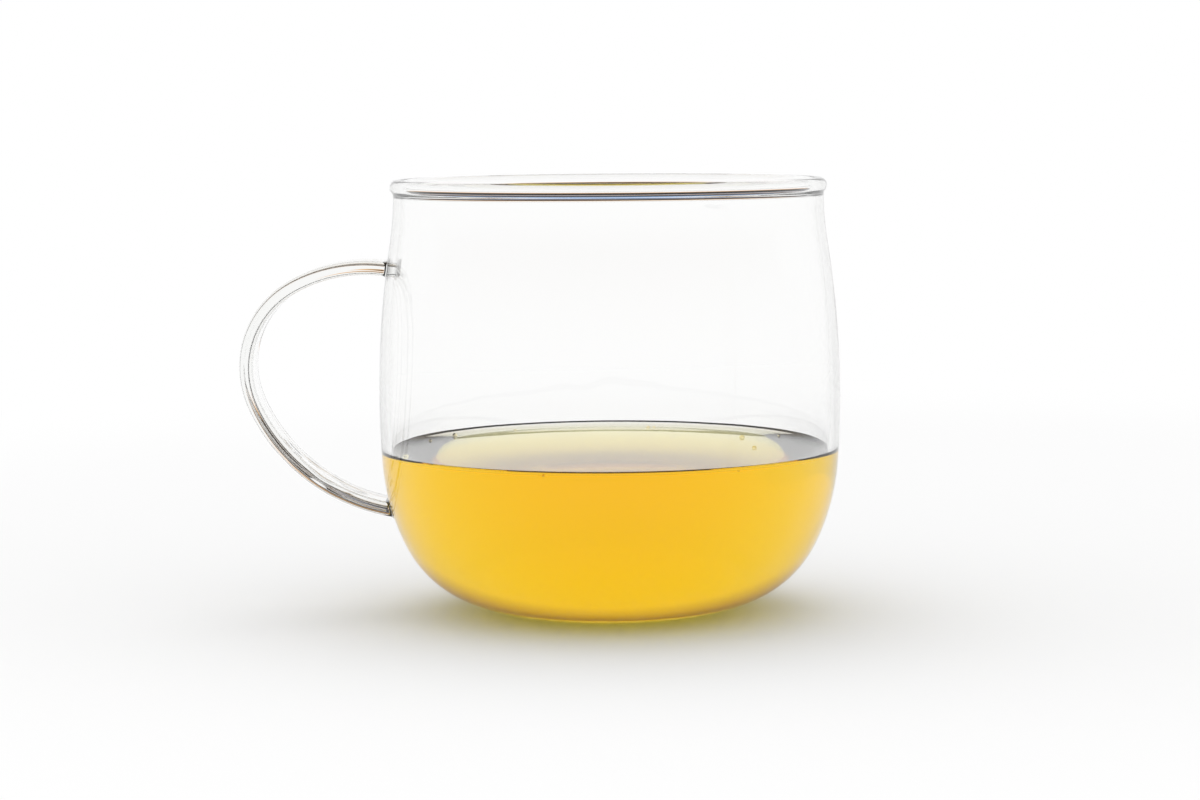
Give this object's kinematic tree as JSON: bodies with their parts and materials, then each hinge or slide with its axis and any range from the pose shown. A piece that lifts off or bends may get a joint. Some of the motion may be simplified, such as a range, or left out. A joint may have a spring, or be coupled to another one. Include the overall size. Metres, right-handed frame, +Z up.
{
  "type": "glass mug of herbal lemonade",
  "caption": "Round-bellied clear glass mug with a flat strap handle and a fire-polished rim, over a third full of a clear golden herbal drink.",
  "frame": {"origin": "the middle of the flat spot under the mug, on the axis of its bowl, at table height", "axes": "+Z up along the axis of the bowl, -X towards the handle, +Y to the left of someone who holds the handle and looks along +X"},
  "size_m": [0.1232, 0.0948, 0.0891],
  "materials": {
    "clear_glass": "blown borosilicate glass, fire-polished, clear",
    "golden_drink": "clear golden liquid with a still surface"
  },
  "bodies": {
    "root": {"mug": "clear_glass", "drink": "golden_drink"}
  },
  "joints": []
}
